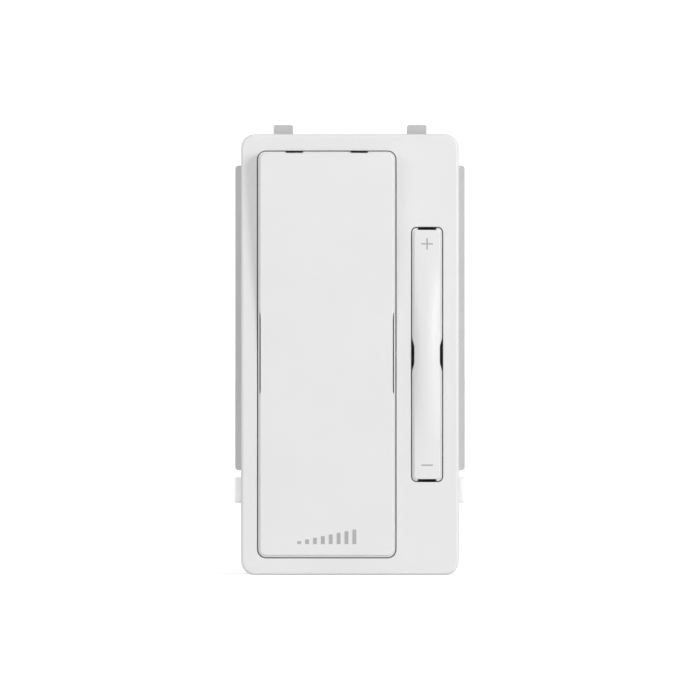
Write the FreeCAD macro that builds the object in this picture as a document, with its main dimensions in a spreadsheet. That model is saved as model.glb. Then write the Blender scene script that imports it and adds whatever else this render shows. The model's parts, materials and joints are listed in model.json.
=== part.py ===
"""Snap-in wall dimmer module: rocker paddle, plus/minus bar, carrier, latches, boards and rear tub.

Millimetres. +X is right, +Z is up and -Y faces the user. The origin is the centre of the face frame's
outline, on the seat plane where the carrier's strips bear on the front of a mounting strap.
"""

import FreeCAD, Part
import math
import os
import re

import Sketcher
from FreeCAD import Placement, Rotation, Vector

# alias: (value, meaning)
DIMENSIONS = {
    # face frame
    "frame_width": (32.9, "face frame, left to right"),
    "frame_height": (66.6, "face frame, bottom to top"),
    "frame_front": (-6.5, "front of the face frame"),
    "frame_corner": (2.1, "corner radius of the face frame"),
    "frame_inner_corner": (0.7, "corner radius inside the face frame"),
    "frame_wall": (1.6, "side wall and front plate of the face frame"),
    "frame_edge": (0.5, "rounding of the front outer edge"),
    "opening_edge": (0.15, "rounding of the edges of both openings"),
    "divider_centre": (7.8, "middle of the rib between the paddle and the bar"),
    "divider_thick": (0.8, "thickness of that rib"),
    "divider_gap": (0.8, "from that rib to the carrier plate"),
    "leg_thick": (0.8, "thickness of a frame snap leg"),
    "leg_width": (3.0, "width of a frame snap leg"),
    "leg_upper": (24.0, "height of the upper snap legs"),
    "leg_lower": (-14.0, "height of the lower snap legs"),
    "leg_end": (0.95, "rear end of the snap legs"),
    "leg_play": (0.1, "clearance around a snap leg in its slot"),
    "barb_reach": (0.5, "reach of the barb on a snap leg"),
    "barb_front": (0.1, "front of the barb"),
    "barb_back": (0.3, "rear of the barb's tip"),
    # paddle
    "running_gap": (0.15, "gap around the paddle and the bar"),
    "paddle_centre": (-3.51, "middle of the paddle, left to right"),
    "paddle_opening": (21.03, "width of the paddle opening"),
    "paddle_tall": (61.54, "height of the paddle opening"),
    "paddle_corner": (1.35, "corner radius of the paddle opening"),
    "paddle_proud": (0.4, "lower half of the paddle above the frame"),
    "paddle_tilt": (4.5, "slope of the upper half, degrees"),
    "paddle_wall": (1.2, "side wall of the paddle"),
    "paddle_face_wall": (1.4, "thickness of the paddle face"),
    "paddle_back": (-2.1, "rear edge of the paddle skirt"),
    "paddle_round": (0.15, "rounding of the paddle crown"),
    "bend_low": (-5.8, "where the bend of the paddle starts"),
    "bend_high": (6.3, "where the bend of the paddle ends"),
    "ledge_width": (0.3, "ledge around the paddle crown"),
    "ledge_drop": (0.45, "paddle ledge below the crown"),
    "slit_width": (0.17, "slit beside the paddle crown at the bend"),
    "slit_depth": (1.6, "depth of that slit below the ledge"),
    "notch_width": (2.6, "notch in the top ledge of the paddle"),
    "notch_offset": (4.9, "notch centre from the paddle centre"),
    "notch_height": (0.2, "how far those notches cut down into the ledge"),
    "notch_back": (-2.6, "rear end of those notches"),
    "paddle_arm": (20.0, "paddle plungers above and below the axis"),
    "upper_root": (-7.4, "front end of the upper paddle plunger, inside the face wall"),
    "lower_root": (-6.0, "front end of the lower paddle plunger, inside the face wall"),
    "plunger_size": (2.4, "side of a plunger"),
    "plunger_tip": (0.56, "rear end of the plungers"),
    # dimming bar
    "bar_centre": (11.64, "middle of the bar, left to right"),
    "bar_opening": (4.83, "width of the bar opening"),
    "bar_tall": (38.52, "height of the bar opening"),
    "bar_corner": (0.85, "corner radius of the bar opening"),
    "bar_crown": (3.84, "width of the bar crown"),
    "bar_crown_corner": (0.5, "corner radius of the bar crown"),
    "bar_round": (0.12, "rounding of the bar crown's ends"),
    "bar_end_ledge": (0.3, "ledge beyond both ends of the bar crown"),
    "bar_ledge_front": (-6.42, "front of the ledge around the bar crown"),
    "bar_ledge_back": (-5.0, "rear of the ledge around the bar crown"),
    "bar_root": (-5.5, "rear of the bar crown, inside the ledge"),
    "bar_front": (-6.9, "front of the bar crown at its ends"),
    "bar_bulge": (0.9, "extra height of the crown at mid length"),
    "bar_least_bulge": (0.02, "extra height of the crown at its ends"),
    "bar_arm": (13.0, "bar plungers above and below the axis"),
    "bar_stem": (2.0, "width of the bar stem"),
    "bar_stem_inset": (1.2, "from the end of the bar to the end of its stem"),
    "bar_back": (-2.2, "rear of the bar stem"),
    "bar_notch_core": (1.25, "half height of the side notches at the crown"),
    "bar_notch_mouth": (3.0, "half height of the side notches at the edge"),
    "bar_slot_width": (2.8, "width of the slots at the bar ends"),
    # axles and bearings
    "pivot_depth": (-3.8, "both rocker axes, measured from the seat"),
    "pin_gap": (0.05, "radial running clearance of axles and buttons"),
    "paddle_pin": (0.75, "radius of the paddle axle"),
    "paddle_pin_left": (-14.5, "left end of the paddle axle"),
    "paddle_pin_right": (7.2, "right end of the paddle axle"),
    "paddle_ear_offset": (7.6, "paddle bearing ears from the paddle centre"),
    "paddle_ear_thick": (1.6, "thickness of those ears"),
    "paddle_ear_radius": (1.3, "outer radius of those ears"),
    "bar_pin": (0.6, "radius of the bar axle"),
    "bar_pin_left": (9.74, "left end of the bar axle"),
    "bar_pin_right": (13.54, "right end of the bar axle"),
    "bar_ear_offset": (1.575, "bar bearing ears from the bar centre"),
    "bar_ear_thick": (0.65, "thickness of those ears"),
    "bar_ear_radius": (1.05, "outer radius of those ears"),
    # carrier
    "plate_front": (-1.4, "front of the carrier plate"),
    "plate_back": (-0.1, "rear of the carrier plate; only the side strips reach the seat plane"),
    "root_overlap": (0.2, "how far walls and ears reach into the plate or floor they stand on"),
    "strip_reach": (17.36, "side strips, from the middle"),
    "strip_low": (-17.5, "lower end of the side strips"),
    "strip_high": (28.6, "upper end of the side strips"),
    "strip_corner": (0.5, "corner radius of the side strips"),
    "rim_width": (32.4, "rim behind the plate, left to right"),
    "rim_height": (64.4, "rim behind the plate, bottom to top"),
    "rim_wall": (1.2, "thickness of the rim"),
    "rim_back": (5.4, "rear of the rim"),
    "rim_corner": (2.0, "corner radius of the rim and the tub"),
    "paddle_window": (6.0, "side of the holes for the paddle plungers"),
    "bar_window_width": (3.8, "width of the holes for the bar plungers"),
    "bar_window_height": (4.0, "height of the holes for the bar plungers"),
    "hook_offset": (10.1, "hook centres from the middle"),
    "hook_width": (3.0, "width of a hook"),
    "hook_top": (34.76, "top of the hooks"),
    "hook_front": (1.3, "front of the hooks and latches, behind the strap"),
    "hook_back": (2.6, "rear of the hooks"),
    "hook_root": (0.9, "how far a hook reaches into the rim"),
    "hook_corner": (0.3, "corner radius of a hook"),
    "post_side": (11.5, "upper board posts, from the middle"),
    "post_high": (22.8, "upper board posts and board header, height"),
    "post_low_side": (3.5, "lower board post, from the middle"),
    "post_low": (-22.6, "lower board post, height"),
    "post_radius": (1.8, "radius of a board post"),
    "post_hole_front": (1.0, "front end of the screw holes in the posts"),
    "pillar_side": (12.2, "corner pillars, from the middle"),
    "pillar_height": (28.2, "corner pillars, height"),
    "pillar_radius": (2.6, "radius of a corner pillar"),
    "pillar_hole_front": (0.6, "front end of the screw holes in the pillars"),
    # latches
    "latch_reach": (17.46, "nose of the latches, from the middle"),
    "latch_low": (-22.5, "lower side of the latches"),
    "latch_high": (-18.6, "upper side of the latches"),
    "latch_back": (4.3, "rear of the latch nose"),
    "latch_flat": (0.9, "square part of the latch nose, front to back"),
    "latch_slope": (1.3, "how far the lead-in cuts back the nose"),
    "latch_round": (0.25, "rounding of the latch nose"),
    "latch_inner": (13.6, "inner end of the latch body"),
    "latch_fit": (0.05, "clearance around a latch in its window"),
    "flange_thick": (1.3, "thickness of the retaining flange"),
    "flange_shoulder": (0.8, "retaining flange beyond the latch body"),
    "flange_front": (0.1, "front of the retaining flange"),
    "flange_back": (5.3, "rear of the retaining flange"),
    "peg_length": (1.2, "length of the peg inside the latch spring"),
    "peg_radius": (0.8, "radius of that peg"),
    "channel_play": (0.1, "clearance beside the retaining flange"),
    "channel_wall": (0.8, "thickness of the walls beside the flange"),
    "channel_stop": (1.0, "thickness of the wall behind the spring"),
    "channel_back": (5.0, "rear of the latch channels"),
    "channel_root": (0.4, "how far the channel walls reach into the rim"),
    "spring_stop": (10.4, "inner stop of the latch springs"),
    "spring_coil": (1.15, "mean radius of a latch spring"),
    "spring_wire": (0.15, "wire radius of a latch spring"),
    "spring_turns": (4.0, "turns of a latch spring"),
    "spring_play": (0.01, "clearance at both ends of a latch spring"),
    # screws: shank radius, head radius, head depth and driver slot
    "screw_play": (0.05, "clearance around a screw shank"),
    "small_screw": (0.95, "board screw"),
    "small_head": (1.8, "board screw head"),
    "small_head_depth": (1.2, "depth of a board screw head"),
    "small_slot": (0.5, "slot in a board screw"),
    "long_screw": (1.25, "housing screw"),
    "long_head": (2.15, "housing screw head"),
    "long_head_depth": (1.8, "depth of a housing screw head"),
    "long_slot": (0.8, "slot in a housing screw"),
    "tab_screw": (1.45, "screw of the power switch's tab"),
    "tab_head": (2.7, "head of that screw"),
    "tab_head_depth": (1.8, "depth of its head"),
    "tab_slot": (0.8, "slot in its head"),
    "clamp_screw": (1.45, "wire clamping screw"),
    "clamp_head": (2.0, "clamping screw head"),
    "clamp_head_depth": (1.6, "depth of a clamping screw head"),
    "clamp_slot": (0.7, "slot in a clamping screw"),
    "small_screw_tip": (1.4, "front end of the board screws"),
    "long_screw_tip": (1.2, "front end of the housing screws"),
    "power_screw_length": (4.0, "power board screws behind the board"),
    # control board
    "board_front": (5.6, "front of the control board"),
    "board_thick": (1.0, "thickness of the control board"),
    "board_width": (28.8, "width of both boards"),
    "board_height": (50.8, "height of both boards"),
    "board_corner": (1.0, "corner radius of both boards"),
    "tact_size": (6.0, "side of a push switch"),
    "tact_front": (2.1, "front of a push switch body"),
    "tact_well": (2.0, "depth of the well for the button"),
    "tact_button": (1.7, "radius of a push switch button"),
    "tact_button_front": (0.6, "front of a push switch button"),
    "tact_button_root": (1.4, "length of the button inside the switch body"),
    "chip_size": (7.0, "side of the control chip"),
    "chip_thick": (1.2, "thickness of the control chip"),
    "chip_dot": (0.4, "radius of the corner mark on the chip"),
    "chip_dot_offset": (2.6, "corner mark from the chip centre"),
    "chip_dot_depth": (0.2, "depth of the corner mark"),
    "header_length": (15.2, "length of the board header"),
    "header_depth": (2.54, "height of the board header"),
    "pin_pitch": (2.54, "pitch of the header pins and of the power switch's legs"),
    "pin_side": (0.64, "side of a header pin"),
    "pin_hole_play": (0.02, "clearance around a header pin in a board"),
    "pin_tail": (0.6, "header pin behind the power board"),
    # power board
    "power_front": (11.6, "front of the power board"),
    "power_back": (13.2, "rear of the power board"),
    "sink_left": (-13.6, "left side of the heat sink"),
    "sink_right": (-0.6, "right side of the heat sink"),
    "sink_low": (-12.6, "lower side of the heat sink"),
    "sink_high": (6.0, "upper side of the heat sink"),
    "sink_thick": (1.5, "thickness of the heat sink"),
    "triac_side": (-7.1, "middle of the power switch, left to right"),
    "triac_width": (10.0, "width of the power switch"),
    "triac_low": (-12.0, "lower side of its case"),
    "triac_high": (-2.8, "upper side of its case"),
    "triac_tab_high": (3.7, "upper end of its tab"),
    "triac_depth": (4.4, "depth of its case"),
    "triac_tab_depth": (1.3, "thickness of its tab"),
    "triac_hole": (1.85, "radius of the hole in its tab"),
    "triac_screw_height": (0.9, "height of the tab screw"),
    "leg_side": (0.8, "width of its legs"),
    "leg_depth": (0.5, "thickness of its legs"),
    "leg_level": (2.2, "front of its legs from the heat sink"),
    "leg_low": (-14.4, "lower end of its legs"),
    "choke_side": (-6.3, "middle of the choke"),
    "choke_height": (13.6, "height of the choke"),
    "choke_outer": (6.3, "outer radius of the choke core"),
    "choke_inner": (3.2, "inner radius of the choke core"),
    "choke_wire": (0.8, "thickness of the choke winding"),
    "choke_depth": (5.0, "thickness of the choke core"),
    "choke_axis_length": (30.0, "drawn length of the choke's axis"),
    "axis_start": (0.0001, "where the drawn axis starts, just behind the seat plane"),
    "film_left": (2.0, "left side of the film capacitor"),
    "film_right": (13.6, "right side of the film capacitor"),
    "film_low": (13.6, "lower side of the film capacitor"),
    "film_high": (20.2, "upper side of the film capacitor"),
    "film_depth": (11.0, "depth of the film capacitor"),
    "film_corner": (0.6, "corner radius of the film capacitor"),
    "film_edge": (0.5, "rounding of its rear edges"),
    "can_side": (8.5, "middle of the electrolytic capacitor"),
    "can_height": (7.0, "height of the electrolytic capacitor"),
    "can_radius": (4.0, "radius of the electrolytic capacitor"),
    "can_depth": (11.5, "depth of the electrolytic capacitor"),
    "can_edge": (0.6, "rounding of its shoulder"),
    "vent_length": (5.0, "length of the groove on its end"),
    "vent_width": (0.4, "width of that groove"),
    "vent_depth": (0.2, "depth of that groove"),
    "fuse_side": (6.5, "middle of the fuse"),
    "fuse_height": (-5.0, "height of the fuse"),
    "fuse_radius": (4.2, "radius of the fuse"),
    "fuse_depth": (7.5, "depth of the fuse"),
    "fuse_edge": (0.5, "rounding of its shoulder"),
    "terminal_pitch": (6.6, "pitch of the terminals"),
    "terminal_width": (5.6, "width of a terminal block"),
    "terminal_low": (-26.9, "lower side of the terminal blocks"),
    "terminal_high": (-20.5, "upper side of the terminal blocks"),
    "terminal_back": (25.1, "rear of the terminal blocks"),
    "wire_height": (-23.7, "height of the wire entries"),
    "wire_hole": (1.6, "radius of a wire entry"),
    "wire_depth": (8.5, "depth of a wire hole in its block"),
    "clamp_depth": (21.0, "axis of the clamping screws"),
    "clamp_seat": (-27.7, "underside of the clamping screw heads"),
    "clamp_gap": (0.1, "from a clamping screw to the wire hole"),
    # rear housing
    "tub_back": (27.0, "rear of the tub"),
    "tub_wall": (1.5, "side wall of the tub"),
    "tub_floor": (1.8, "rear wall of the tub"),
    "tub_edge": (0.8, "rounding of the rear edge of the tub"),
    "tub_inner_corner": (0.8, "corner radius inside the tub"),
    "board_post": (2.2, "radius of the tub's posts behind the power board"),
    "board_post_hole": (5.0, "depth of the screw holes in those posts"),
    "head_recess": (2.0, "depth of the recesses for the housing screw heads"),
    "recess_play": (0.15, "clearance around a housing screw head"),
    "tub_screw_play": (0.1, "clearance of the housing screws in the tub"),
    "driver_hole": (2.3, "radius of the holes for the screwdriver"),
    "label_width": (18.0, "blank label recess, left to right"),
    "label_low": (-12.0, "lower side of the label recess"),
    "label_high": (16.0, "upper side of the label recess"),
    "label_corner": (1.0, "corner radius of the label recess"),
    "label_depth": (0.25, "depth of the label recess"),
}

WORD = re.compile(r"\b[a-z][a-z_]+\b")

# Lengths below this count as zero.
TINY = 1e-4

# Name of each side, and the sign of its X.
HANDS = (("left", "-"), ("right", ""))

document = FreeCAD.newDocument("dimmer_module")
sheet = document.addObject("Spreadsheet::Sheet", "dims")


def fill_sheet():
    for row, (alias, (size, meaning)) in enumerate(DIMENSIONS.items(), start=1):
        sheet.set(f"A{row}", meaning)
        sheet.set(f"B{row}", str(size))
        sheet.setAlias(f"B{row}", alias)
    document.recompute()


def cell(text):
    """Turns a formula of aliases into one that the expression engine reads."""
    return WORD.sub(lambda word: f"dims.{word[0]}" if word[0] in DIMENSIONS else word[0], str(text))


def size_of(text):
    return float(sheet.evalExpression(cell(text)))


def put(feature, **formulas):
    """Binds properties to formulas; a double underscore stands for the dot in a property's path."""
    for path, text in formulas.items():
        feature.setExpression(path.replace("__", "."), cell(text))


def mirrored(sign, near, far):
    """Low and high end of a span given outward from the middle; sign "-" puts it on the negative side."""
    return (f"-({far})", f"-({near})") if sign else (near, far)


# ---------------------------------------------------------------- outlines
# Each of these returns a function that draws one closed outline in a sketch.


def bind(sketch, formula, kind, *places):
    """Adds one dimension to a sketch and binds it to a formula."""
    index = sketch.addConstraint(Sketcher.Constraint(kind, *places, size_of(formula)))
    sketch.setExpression(f"Constraints[{index}]", cell(formula))


def arc_between(start, end, radius, turn):
    """An arc from start to end that bends to the left (turn 1) or to the right (turn -1)."""
    chord = end - start
    rise = math.sqrt(radius**2 - (chord.Length / 2) ** 2)
    normal = Vector(-chord.y, chord.x, 0).normalize()
    centre = (start + end) / 2 + normal * rise * turn
    middle = centre - normal * radius * turn
    return Part.Arc(start, middle, end)


def outline(*steps):
    """A step is (across, up) to go there straight, or (across, up, radius, turn) to go there by an arc."""

    def draw(sketch):
        corners = [Vector(size_of(step[0]), size_of(step[1]), 0) for step in steps]
        base = sketch.GeometryCount
        ends = []
        for index, step in enumerate(steps):
            start = corners[index - 1]
            if len(step) == 2:
                sketch.addGeometry(Part.LineSegment(start, corners[index]))
                ends.append((1, 2))
                continue
            sketch.addGeometry(arc_between(start, corners[index], size_of(step[2]), step[3]))
            ends.append((1, 2) if step[3] > 0 else (2, 1))
        for index, step in enumerate(steps):
            piece = base + index
            before = base + (index - 1) % len(steps)
            sketch.addConstraint(
                Sketcher.Constraint("Coincident", before, ends[index - 1][1], piece, ends[index][0])
            )
            bind(sketch, step[0], "DistanceX", piece, ends[index][1])
            bind(sketch, step[1], "DistanceY", piece, ends[index][1])
            if len(step) == 4:
                bind(sketch, step[2], "Radius", piece)

    return draw


def rectangle(left, right, low, high):
    return outline((left, low), (right, low), (right, high), (left, high))


def square(across, up, half):
    return rectangle(f"{across} - {half}", f"{across} + {half}", f"{up} - {half}", f"{up} + {half}")


def disc(across, up, radius):
    def draw(sketch):
        centre = Vector(size_of(across), size_of(up), 0)
        index = sketch.addGeometry(Part.Circle(centre, Vector(0, 0, 1), size_of(radius)))
        bind(sketch, radius, "Radius", index)
        bind(sketch, across, "DistanceX", index, 3)
        bind(sketch, up, "DistanceY", index, 3)

    return draw


def discs(places, radius):
    return [disc(across, up, radius) for across, up in places]


def rounded(left, right, low, high, radius):
    """Rectangle with four equal corner radii."""

    def draw(sketch):
        x_low, x_high, y_low, y_high, bend = map(size_of, (left, right, low, high, radius))
        base = sketch.GeometryCount
        centres = [
            (x_high - bend, y_low + bend),
            (x_high - bend, y_high - bend),
            (x_low + bend, y_high - bend),
            (x_low + bend, y_low + bend),
        ]
        arcs = []
        for index, (across, up) in enumerate(centres):
            circle = Part.Circle(Vector(across, up, 0), Vector(0, 0, 1), bend)
            first = (index - 1) * math.pi / 2
            arcs.append(Part.ArcOfCircle(circle, first, first + math.pi / 2))
        for index, arc in enumerate(arcs):
            sketch.addGeometry(Part.LineSegment(arcs[index - 1].EndPoint, arc.StartPoint))
            sketch.addGeometry(arc)
        for index in range(4):
            line = base + 2 * index
            following = base + (2 * index + 2) % 8
            sketch.addConstraint(Sketcher.Constraint("Tangent", line, 2, line + 1, 1))
            sketch.addConstraint(Sketcher.Constraint("Tangent", line + 1, 2, following, 1))
            sketch.addConstraint(Sketcher.Constraint("Vertical" if index % 2 else "Horizontal", line))
            if index:
                sketch.addConstraint(Sketcher.Constraint("Equal", base + 1, line + 1))
        bind(sketch, radius, "Radius", base + 1)
        bind(sketch, low, "DistanceY", base, 1)
        bind(sketch, right, "DistanceX", base + 2, 1)
        bind(sketch, high, "DistanceY", base + 4, 1)
        bind(sketch, left, "DistanceX", base + 6, 1)

    return draw


def centred(width, height, radius):
    return rounded(f"-({width}) / 2", f"({width}) / 2", f"-({height}) / 2", f"({height}) / 2", radius)


# ---------------------------------------------------------------- bodies and features

# Origin plane for each axis, and the sign of that plane's normal along the axis.
PLANES = {"x": ("YZ_Plane", 1), "y": ("XZ_Plane", -1), "z": ("XY_Plane", 1)}


def new_body(label):
    body = document.addObject("PartDesign::Body", label)
    body.Label = label
    return body


def sketch_at(body, name, axis, station, *shapes):
    """A sketch square to an axis, at a station on it, holding the given outlines."""
    role, sign = PLANES[axis]
    sketch = body.newObject("Sketcher::SketchObject", name + "_sketch")
    plane = next(item for item in body.Origin.OriginFeatures if item.Role == role)
    sketch.AttachmentSupport = (plane, [""])
    sketch.MapMode = "FlatFace"
    sketch.Visibility = False
    put(sketch, AttachmentOffset__Base__z=f"{sign} * ({station})")
    for shape in shapes:
        shape(sketch)
    return sketch


def pad(body, name, axis, low, high, *shapes):
    """Adds material between two stations on an axis."""
    start = low if PLANES[axis][1] > 0 else high
    profile = sketch_at(body, name, axis, start, *shapes)
    feature = body.newObject("PartDesign::Pad", name)
    feature.Profile = profile
    put(feature, Length=f"({high}) - ({low})")


def pocket(body, name, axis, low, high, *shapes):
    """Removes material between two stations on an axis, and checks that it did."""
    document.recompute()
    before = body.Shape.Volume
    start = high if PLANES[axis][1] > 0 else low
    profile = sketch_at(body, name, axis, start, *shapes)
    feature = body.newObject("PartDesign::Pocket", name)
    feature.Profile = profile
    put(feature, Length=f"({high}) - ({low})")
    document.recompute()
    if body.Shape.Volume >= before:
        raise RuntimeError(f"{body.Label}: pocket {name} cuts nothing")


def round_edges(body, name, radius, wanted):
    """Fillets the edges for which wanted(edge) is true."""
    document.recompute()
    tip = body.Tip
    edges = [f"Edge{number}" for number, edge in enumerate(tip.Shape.Edges, start=1) if wanted(edge)]
    if not edges:
        raise RuntimeError(f"{body.Label}: no edges for {name}")
    feature = body.newObject("PartDesign::Fillet", name)
    feature.Base = (tip, edges)
    put(feature, Radius=radius)


def lies_at(depth):
    """A test for edges that lie wholly at one depth."""
    station = size_of(depth)
    return lambda edge: max(abs(edge.BoundBox.YMin - station), abs(edge.BoundBox.YMax - station)) < TINY


def runs_deep(edge):
    """True for an edge parallel to Y."""
    return edge.BoundBox.XLength < TINY and edge.BoundBox.ZLength < TINY


# ---------------------------------------------------------------- primitives

# Turns a primitive's own Z axis onto the named axis.
TURNS = {
    "x": Rotation(Vector(0, 1, 0), 90),
    "y": Rotation(Vector(1, 0, 0), -90),
    "z": Rotation(),
}


def block(name, left, right, front, back, low, high):
    box = document.addObject("Part::Box", name)
    put(box, Length=f"({right}) - ({left})", Width=f"({back}) - ({front})", Height=f"({high}) - ({low})")
    put(box, Placement__Base__x=left, Placement__Base__y=front, Placement__Base__z=low)
    return box


def rod(name, axis, start, end, first, second, radius):
    """A cylinder along an axis; first and second are its centre on the other two axes, in x, y, z order."""
    cylinder = document.addObject("Part::Cylinder", name)
    cylinder.Placement = Placement(Vector(), TURNS[axis])
    put(cylinder, Radius=radius, Height=f"({end}) - ({start})")
    x, y, z = {"x": (start, first, second), "y": (first, start, second), "z": (first, second, start)}[axis]
    put(cylinder, Placement__Base__x=x, Placement__Base__y=y, Placement__Base__z=z)
    return cylinder


def fuse(label, *shapes):
    feature = document.addObject("Part::MultiFuse", label)
    feature.Shapes = list(shapes)
    return feature


def cut(label, base, *tools):
    feature = document.addObject("Part::Cut", label)
    feature.Base = base
    feature.Tool = tools[0] if len(tools) == 1 else fuse(label + "_tools", *tools)
    return feature


def group(label, pieces):
    """Separate solids that share one node."""
    feature = document.addObject("Part::Compound", label)
    feature.Links = list(pieces)
    return feature


def screw(name, kind, axis, outward, seat, tip, first, second):
    """Pan-head screw with a driver slot.

    The head stands on the seat, on the side given by outward ("+" or "-" along the axis).
    The shank runs from the seat to the tip. The slot runs left to right.
    """

    def ends(near, far):
        """Both ends of a span measured outward from the seat, in rising order."""
        places = [f"({seat}) {outward} ({near})", f"({seat}) {outward} ({far})"]
        return places if outward == "+" else places[::-1]

    depth = f"{kind}_head_depth"
    shank_ends = (tip, seat) if outward == "+" else (seat, tip)
    shank = rod(name + "_shank", axis, *shank_ends, first, second, f"{kind}_screw")
    head = rod(name + "_head", axis, *ends("0", depth), first, second, f"{kind}_head")
    across = [f"{first} - 2 * {kind}_head", f"{first} + 2 * {kind}_head"]
    wide = [f"{second} - {kind}_slot / 2", f"{second} + {kind}_slot / 2"]
    deep = ends(f"{depth} / 2", f"2 * {depth}")
    limits = across + deep + wide if axis == "y" else across + wide + deep
    return cut(name, fuse(name + "_blank", shank, head), block(name + "_slot", *limits))


# ---------------------------------------------------------------- face frame

FRAME_SIDE = "(frame_width / 2 - frame_wall)"
FRAME_TOP = "(frame_height / 2 - frame_wall)"
FRAME_PLATE_BACK = "(frame_front + frame_wall)"


def add_snap_leg(body, hand, sign, level):
    outer = f"{sign}{FRAME_SIDE}"
    inner = f"{sign}({FRAME_SIDE} - leg_thick)"
    barb = f"{sign}({FRAME_SIDE} - leg_thick - barb_reach)"
    pad(
        body, f"leg_{hand}_{level}", "z",
        f"leg_{level} - leg_width / 2", f"leg_{level} + leg_width / 2",
        outline(
            (outer, FRAME_PLATE_BACK), (outer, "leg_end"), (inner, "leg_end"), (barb, "barb_back"),
            (barb, "barb_front"), (inner, "barb_front"), (inner, FRAME_PLATE_BACK),
        ),
    )


def make_face_frame():
    body = new_body("face_frame")
    pad(
        body, "shell", "y", "frame_front", "plate_front",
        centred("frame_width", "frame_height", "frame_corner"),
    )
    pocket(
        body, "hollow", "y", FRAME_PLATE_BACK, "plate_front",
        rounded(f"-{FRAME_SIDE}", FRAME_SIDE, f"-{FRAME_TOP}", FRAME_TOP, "frame_inner_corner"),
    )
    for name, corner in (("paddle", "paddle_corner"), ("bar", "bar_corner")):
        pocket(
            body, f"{name}_opening", "y", "frame_front", FRAME_PLATE_BACK,
            rounded(
                f"{name}_centre - {name}_opening / 2", f"{name}_centre + {name}_opening / 2",
                f"-{name}_tall / 2", f"{name}_tall / 2", corner,
            ),
        )
    pad(
        body, "divider", "y", FRAME_PLATE_BACK, "plate_front - divider_gap",
        rectangle(
            "divider_centre - divider_thick / 2", "divider_centre + divider_thick / 2",
            f"-{FRAME_TOP}", FRAME_TOP,
        ),
    )
    for hand, sign in HANDS:
        for level in ("upper", "lower"):
            add_snap_leg(body, hand, sign, level)

    at_front = lies_at("frame_front")
    side = size_of("frame_width / 2 - frame_corner")
    top = size_of("frame_height / 2 - frame_corner")

    def is_outer(edge):
        centre = edge.BoundBox.Center
        return abs(centre.x) > side or abs(centre.z) > top

    round_edges(
        body, "opening_rounding", "opening_edge",
        lambda edge: at_front(edge) and not is_outer(edge),
    )
    round_edges(
        body, "outer_rounding", "frame_edge",
        lambda edge: at_front(edge) and is_outer(edge),
    )
    return body


# ---------------------------------------------------------------- paddle

PADDLE_SIDE = "(paddle_opening / 2 - running_gap)"
PADDLE_CROWN = f"({PADDLE_SIDE} - ledge_width)"
PADDLE_LEDGE = "frame_front - paddle_proud + ledge_drop"
BEND_HALF = "((bend_high - bend_low) / 2)"


def paddle_levels(inset, drop):
    """Half length of the paddle, and the depth of its face at the bottom, above the bend and at the top."""
    half = f"(paddle_tall / 2 - running_gap - {inset})"
    face = f"(frame_front - paddle_proud + {drop})"
    bend_top = f"({face} - {BEND_HALF} * tan(paddle_tilt))"
    slope_top = f"({face} - ({half} - (bend_low + bend_high) / 2) * tan(paddle_tilt))"
    return half, face, bend_top, slope_top


def paddle_outline(inset, drop, back):
    """Side view: flat below, bent in the middle, sloping outward above; ends inset and face lowered.

    The bend is an arc tangent to the flat and, within 0.01 degree, to the slope.
    """
    half, face, bend_top, slope_top = paddle_levels(inset, drop)
    return outline(
        (back, f"-{half}"), (face, f"-{half}"), (face, "bend_low"),
        (bend_top, "bend_high", f"({BEND_HALF} / tan(paddle_tilt / 2))", 1),
        (slope_top, half), (back, half),
    )


def is_crown_edge():
    """A test for the edges around the paddle's bent face."""
    half, face, bend_top, slope_top = map(size_of, paddle_levels("ledge_width", "0"))
    bend_low, bend_high = size_of("bend_low"), size_of("bend_high")
    slope = (slope_top - bend_top) / (half - bend_high)
    corner = size_of("paddle_corner")
    left = size_of(f"paddle_centre - {PADDLE_CROWN}")
    right = size_of(f"paddle_centre + {PADDLE_CROWN}")

    def on_face(point):
        level = bend_top + (point.Z - bend_high) * slope if point.Z > bend_low + 10 * TINY else face
        return abs(point.Y - level) < 10 * TINY

    def test(edge):
        box = edge.BoundBox
        beside = box.XMax < left + corner or box.XMin > right - corner
        at_end = abs(abs(box.Center.z) - half) < corner
        return (beside or at_end) and all(on_face(point) for point in edge.Vertexes)

    return test


def make_paddle():
    body = new_body("paddle")
    pad(
        body, "crown", "x", f"paddle_centre - {PADDLE_CROWN}", f"paddle_centre + {PADDLE_CROWN}",
        paddle_outline("ledge_width", "0", "paddle_back"),
    )
    round_edges(body, "crown_corners", "paddle_corner - running_gap - ledge_width", runs_deep)
    pad(
        body, "base", "x", f"paddle_centre - {PADDLE_SIDE}", f"paddle_centre + {PADDLE_SIDE}",
        paddle_outline("0", "ledge_drop", "paddle_back"),
    )
    base_end = size_of("paddle_tall / 2 - running_gap") - TINY
    round_edges(
        body, "base_corners", "paddle_corner - running_gap",
        lambda edge: runs_deep(edge) and abs(edge.BoundBox.Center.z) > base_end,
    )
    round_edges(body, "crown_rounding", "paddle_round", is_crown_edge())
    inner = f"({PADDLE_SIDE} - paddle_wall)"
    pocket(
        body, "hollow", "x", f"paddle_centre - {inner}", f"paddle_centre + {inner}",
        paddle_outline("paddle_wall", "paddle_face_wall", "paddle_back + running_gap"),
    )
    for side in "-+":
        add_paddle_cuts(body, side)
    pocket(
        body, "axle_holes", "x", "paddle_centre - paddle_opening", "paddle_centre + paddle_opening",
        disc("pivot_depth", "0", "paddle_pin + pin_gap"),
    )
    for name, height in (("upper", "paddle_arm"), ("lower", "-paddle_arm")):
        pad(
            body, f"plunger_{name}", "y", f"{name}_root", "plunger_tip",
            square("paddle_centre", height, "plunger_size / 2"),
        )
    return body


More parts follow.
